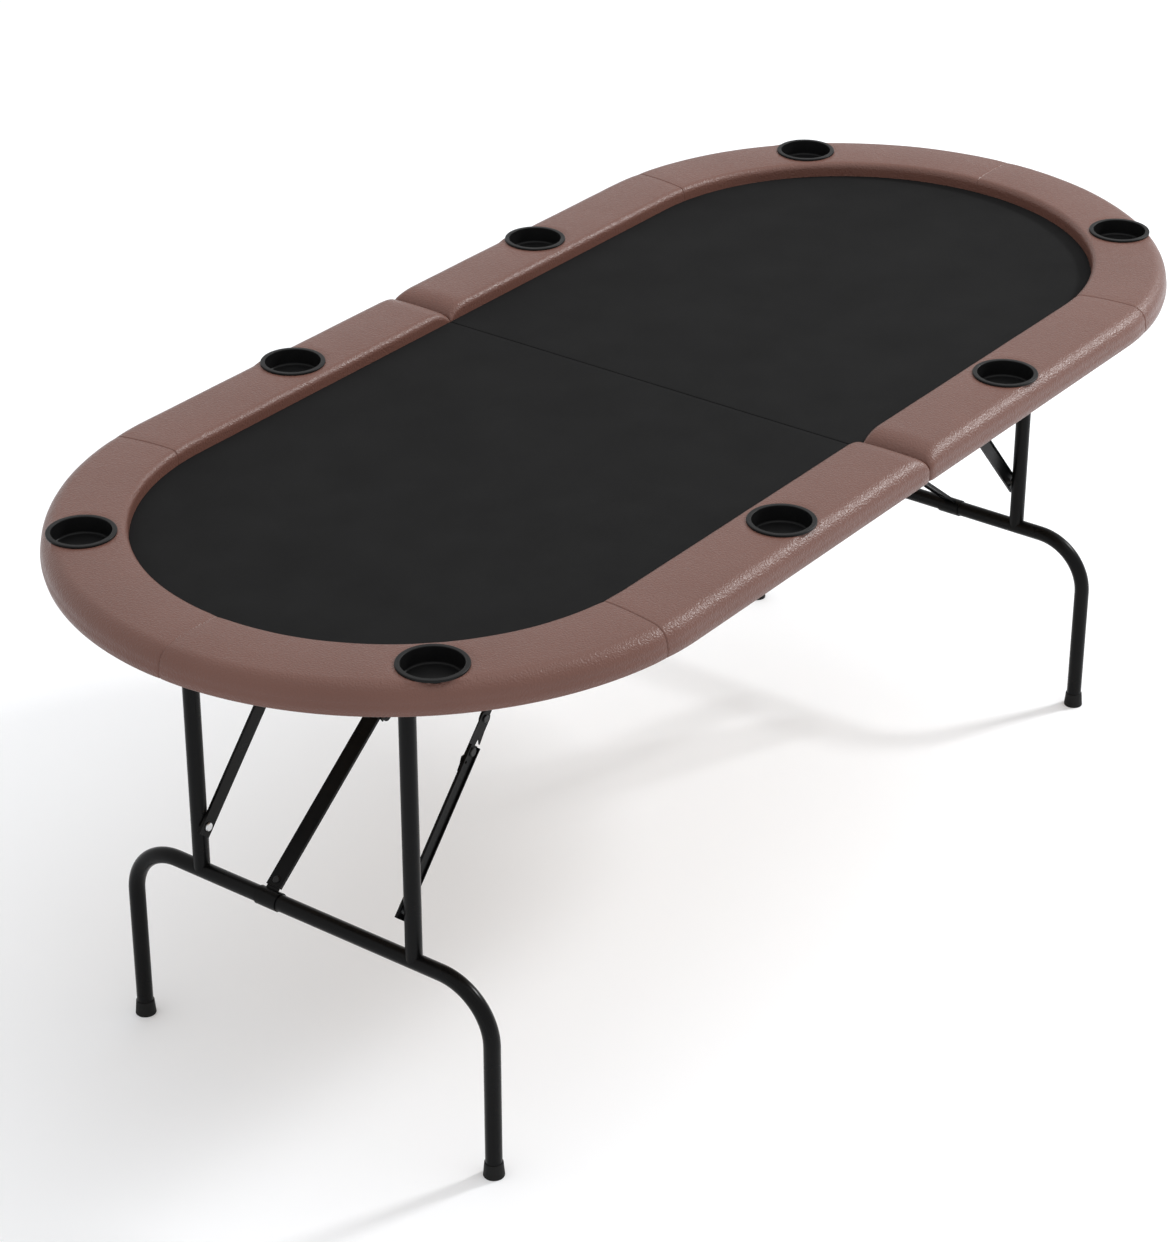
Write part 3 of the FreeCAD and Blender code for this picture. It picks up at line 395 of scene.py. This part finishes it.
class Nodes:
    """A material's node tree with a Principled shader, and short names for what is wired to it."""

    def __init__(self, name, colour, rough, **inputs):
        self.material = bpy.data.materials.new(name)
        self.material.use_nodes = True
        self.tree = self.material.node_tree
        self.shader = self.tree.nodes["Principled BSDF"]
        self.shader.inputs["Base Color"].default_value = (*colour, 1.0)
        self.shader.inputs["Roughness"].default_value = rough
        for key, value in inputs.items():
            self.shader.inputs[key.replace("_", " ")].default_value = value
        self.coords = self.tree.nodes.new("ShaderNodeTexCoord").outputs["Object"]

    def node(self, kind, **settings):
        made = self.tree.nodes.new(kind)
        for key, value in settings.items():
            if key in made.inputs:
                made.inputs[key].default_value = value
            else:
                setattr(made, key, value)
        return made

    def link(self, source, target):
        self.tree.links.new(source, target)

    def noise(self, scale, detail=2.0, rough=0.5, stretch=None):
        """Cloudy pattern: a larger scale is finer, and stretch draws it out along an axis."""
        made = self.node("ShaderNodeTexNoise", Scale=scale, Detail=detail, Roughness=rough)
        self.link(self.stretched(stretch), made.inputs["Vector"])
        return made.outputs["Fac"]

    def pebbles(self, scale):
        """Rounded cells."""
        made = self.node("ShaderNodeTexVoronoi", feature="SMOOTH_F1", Scale=scale)
        self.link(self.coords, made.inputs["Vector"])
        return made.outputs["Distance"]

    def threads(self, direction, scale):
        """Parallel threads across this axis, a little wavy."""
        made = self.node("ShaderNodeTexWave", wave_type="BANDS", bands_direction=direction,
                         Scale=scale, Distortion=1.5)
        self.link(self.coords, made.inputs["Vector"])
        return made.outputs["Fac"]

    def stretched(self, factors):
        """The object's own coordinates, scaled along each axis."""
        if factors is None:
            return self.coords
        made = self.node("ShaderNodeMapping")
        made.inputs["Scale"].default_value = factors
        self.link(self.coords, made.inputs["Vector"])
        return made.outputs["Vector"]

    def spread(self, source, low, high, out_low=0.0, out_high=1.0):
        """Maps low..high of a pattern to out_low..out_high."""
        made = self.node("ShaderNodeMapRange")
        limits = {"From Min": low, "From Max": high, "To Min": out_low, "To Max": out_high}
        for key, value in limits.items():
            made.inputs[key].default_value = value
        self.link(source, made.inputs["Value"])
        return made.outputs["Result"]

    def add(self, first, second, weight):
        """The first pattern plus a share of the second."""
        made = self.node("ShaderNodeMath", operation="MULTIPLY_ADD")
        self.link(second, made.inputs[0])
        made.inputs[1].default_value = weight
        self.link(first, made.inputs[2])
        return made.outputs["Value"]

    def colour_by(self, factor, first, second):
        """Base colour that varies between two tones."""
        made = self.node("ShaderNodeMix", data_type="RGBA")
        self.link(factor, made.inputs[MIX_FACTOR])
        made.inputs[MIX_FIRST].default_value = (*first, 1.0)
        made.inputs[MIX_SECOND].default_value = (*second, 1.0)
        self.link(made.outputs[MIX_COLOUR], self.shader.inputs["Base Color"])

    def rough_by(self, factor, low, high):
        """Roughness that varies over the middle of a pattern's range."""
        self.link(self.spread(factor, 0.3, 0.7, low, high), self.shader.inputs["Roughness"])

    def bump(self, height, strength, distance):
        """Relief of this height in metres."""
        made = self.node("ShaderNodeBump", Strength=strength, Distance=distance)
        self.link(height, made.inputs["Height"])
        self.link(made.outputs["Normal"], self.shader.inputs["Normal"])


def vinyl():
    """Soft brown leatherette with a fine pebbled grain."""
    m = Nodes("brown_leatherette", (0.131, 0.0577, 0.043), 0.36, Specular_IOR_Level=0.36)
    cells = m.pebbles(450.0)
    crease = m.noise(800.0, detail=2.0)
    soft = m.noise(240.0, detail=3.0)
    broad = m.noise(7.0, detail=2.0)
    grain = m.add(m.add(cells, crease, 0.40), soft, 0.20)
    m.bump(grain, strength=1.0, distance=0.0007)
    m.colour_by(m.spread(broad, 0.35, 0.65), (0.127, 0.0556, 0.0413), (0.136, 0.0602, 0.0450))
    m.rough_by(soft, low=0.30, high=0.42)
    return m.material


def felt():
    """Black speed cloth with a fine woven face."""
    m = Nodes("black_speed_cloth", (0.0115, 0.0115, 0.0117), 0.85, Specular_IOR_Level=0.05)
    weave = m.add(m.threads("X", 520.0), m.threads("Y", 520.0), 1.0)
    fibre = m.noise(2400.0, detail=2.0)
    m.bump(m.add(weave, fibre, 0.8), strength=0.35, distance=0.00015)
    broad = m.noise(11.0, detail=4.0)
    m.colour_by(m.spread(broad, 0.3, 0.7), (0.0106, 0.0106, 0.0108), (0.0130, 0.0130, 0.0132))
    return m.material


def cup_plastic():
    """Black moulded plastic with a fine satin texture."""
    m = Nodes("black_moulded_plastic", (0.006, 0.006, 0.006), 0.42, Specular_IOR_Level=0.14)
    fine = m.noise(1300.0, detail=2.0)
    broad = m.noise(35.0, detail=3.0)
    m.bump(fine, strength=0.12, distance=0.0001)
    m.rough_by(broad, low=0.36, high=0.48)
    m.colour_by(broad, (0.0054, 0.0054, 0.0056), (0.0068, 0.0068, 0.0070))
    return m.material


def black_coat(name, rough, gloss):
    """Black powder coat with a faint orange peel."""
    m = Nodes(name, (0.0040, 0.0040, 0.0042), rough, Specular_IOR_Level=gloss)
    peel = m.noise(420.0, detail=2.0)
    broad = m.noise(9.0, detail=3.0)
    m.bump(peel, strength=0.10, distance=0.0002)
    m.rough_by(broad, low=rough - 0.05, high=rough + 0.07)
    m.colour_by(broad, (0.0026, 0.0026, 0.0027), (0.0038, 0.0038, 0.0040))
    return m.material


def foot_rubber():
    """Matte black rubber."""
    m = Nodes("foot_rubber_black", (0.007, 0.007, 0.007), 0.62, Specular_IOR_Level=0.15)
    fine = m.noise(900.0, detail=3.0)
    broad = m.noise(60.0, detail=3.0)
    m.bump(fine, strength=0.2, distance=0.0002)
    m.rough_by(broad, low=0.55, high=0.70)
    m.colour_by(broad, (0.0060, 0.0060, 0.0060), (0.0090, 0.0088, 0.0086))
    return m.material


def zinc():
    """Bright zinc plate with a faint brushed tone."""
    m = Nodes("bright_zinc", (0.62, 0.63, 0.64), 0.28, Metallic=1.0)
    brushed = m.noise(600.0, detail=3.0, stretch=(1.0, 0.15, 1.0))
    broad = m.noise(80.0, detail=3.0)
    m.bump(brushed, strength=0.08, distance=0.0001)
    m.rough_by(broad, low=0.22, high=0.36)
    m.colour_by(broad, (0.55, 0.56, 0.57), (0.68, 0.69, 0.70))
    return m.material


def fibreboard():
    """Raw pressed fibreboard: tan with short fine fibres."""
    m = Nodes("raw_fibreboard", (0.36, 0.25, 0.16), 0.78)
    fibre = m.noise(500.0, detail=5.0, stretch=(1.0, 0.5, 1.0))
    fleck = m.noise(120.0, detail=4.0)
    m.bump(fibre, strength=0.25, distance=0.0002)
    m.rough_by(fleck, low=0.72, high=0.85)
    mix = m.add(m.spread(fibre, 0.3, 0.7, 0.0, 0.6), fleck, 0.4)
    m.colour_by(mix, (0.27, 0.18, 0.11), (0.44, 0.32, 0.21))
    return m.material


def softwood():
    """Planed softwood with long grain across the table."""
    m = Nodes("planed_softwood", (0.45, 0.31, 0.18), 0.6)
    grain = m.noise(90.0, detail=6.0, rough=0.6, stretch=(1.0, 0.06, 1.0))
    pores = m.noise(900.0, detail=2.0, stretch=(1.0, 0.08, 1.0))
    m.bump(m.add(grain, pores, 0.5), strength=0.25, distance=0.0002)
    m.rough_by(grain, low=0.52, high=0.68)
    m.colour_by(m.spread(grain, 0.32, 0.68), (0.36, 0.23, 0.12), (0.54, 0.39, 0.24))
    return m.material


def pale_floor():
    """Near-white floor with a little light of its own, as in a studio."""
    m = Nodes("pale_floor", (0.86, 0.86, 0.86), 0.9)
    broad = m.noise(1.5, detail=2.0)
    m.colour_by(broad, (0.858, 0.873, 0.894), (0.868, 0.883, 0.904))
    m.shader.inputs["Emission Color"].default_value = (1.0, 1.0, 1.0, 1.0)
    m.shader.inputs["Emission Strength"].default_value = 0.09
    return m.material


def finish_nodes():
    """Gives each CAD node that stays visible the material of its slot."""
    by_slot = {
        "cup_plastic": cup_plastic(),
        "tube_steel": black_coat("tube_powder_coat", 0.28, 0.11),
        "brace_steel": black_coat("brace_powder_coat", 0.30, 0.10),
        "rivet_steel": black_coat("rivet_paint", 0.26, 0.30),
        "foot_rubber": foot_rubber(),
        "zinc": zinc(),
        "board_wood": fibreboard(),
        "batten_wood": softwood(),
        "rail_vinyl": vinyl(),
        "cloth": felt(),
    }
    for entry in frame["record"]["subparts"]:
        node = frame["nodes"][entry["node"]]
        for slot in node.material_slots:
            slot.material = by_slot[entry["material_slot"]]
    return by_slot


# ---- stage -------------------------------------------------------------------------------------
FLOOR_REACH = 60.0
WORLD_STRENGTH = 0.92
LENS = 99.79                         # in millimetres, as is the sensor
SENSOR = 36.0
CAMERA_PLACE = (-3.44139, -2.44358, 2.68303)
CAMERA_AIM = (0.704898, 0.522011, -0.480232)
VIEW_REACH = 200.0


def floor():
    """Large floor whose far edge lies outside every view."""
    mesh = bpy.data.meshes.new("floor")
    corners = [(-FLOOR_REACH, -FLOOR_REACH, 0.0), (FLOOR_REACH, -FLOOR_REACH, 0.0),
               (FLOOR_REACH, FLOOR_REACH, 0.0), (-FLOOR_REACH, FLOOR_REACH, 0.0)]
    mesh.from_pydata(corners, [], [(0, 1, 2, 3)])
    piece = bpy.data.objects.new("floor", mesh)
    bpy.context.scene.collection.objects.link(piece)
    piece.data.materials.append(pale_floor())


def area_light(name, place, aim, size, power):
    """White square light at a place, turned to what it aims at."""
    data = bpy.data.lights.new(name, "AREA")
    data.shape = "SQUARE"
    data.size = size
    data.energy = power
    light = bpy.data.objects.new(name, data)
    light.location = place
    light.rotation_mode = "QUATERNION"
    light.rotation_quaternion = (Vector(aim) - Vector(place)).to_track_quat("-Z", "Y")
    bpy.context.scene.collection.objects.link(light)


def studio():
    """Even white surroundings, a small key light and a broad overhead one."""
    world = bpy.data.worlds.new("studio")
    world.use_nodes = True
    background = world.node_tree.nodes["Background"]
    background.inputs["Color"].default_value = (1.0, 1.0, 1.0, 1.0)
    background.inputs["Strength"].default_value = WORLD_STRENGTH
    bpy.context.scene.world = world
    area_light("key", place=(4.6, -2.4, 3.9), aim=(0.0, 0.0, 0.5), size=0.8, power=200.0)
    area_light("overhead", place=(0.6, -0.9, 4.6), aim=(0.0, 0.0, 0.0), size=4.5, power=45.0)
    bpy.context.scene.view_settings.view_transform = "Standard"


def camera():
    data = bpy.data.cameras.new("camera")
    data.lens = LENS
    data.sensor_width = SENSOR
    data.clip_end = VIEW_REACH
    seat = bpy.data.objects.new("camera", data)
    seat.location = CAMERA_PLACE
    seat.rotation_mode = "QUATERNION"
    seat.rotation_quaternion = Vector(CAMERA_AIM).to_track_quat("-Z", "Y")
    bpy.context.scene.collection.objects.link(seat)
    bpy.context.scene.camera = seat


finishes = finish_nodes()
for slot_name, soft_pieces in (("rail_vinyl", rail_pads()), ("cloth", playing_cloths())):
    for piece in soft_pieces:
        piece.data.materials.clear()
        piece.data.materials.append(finishes[slot_name])
floor()
studio()
camera()
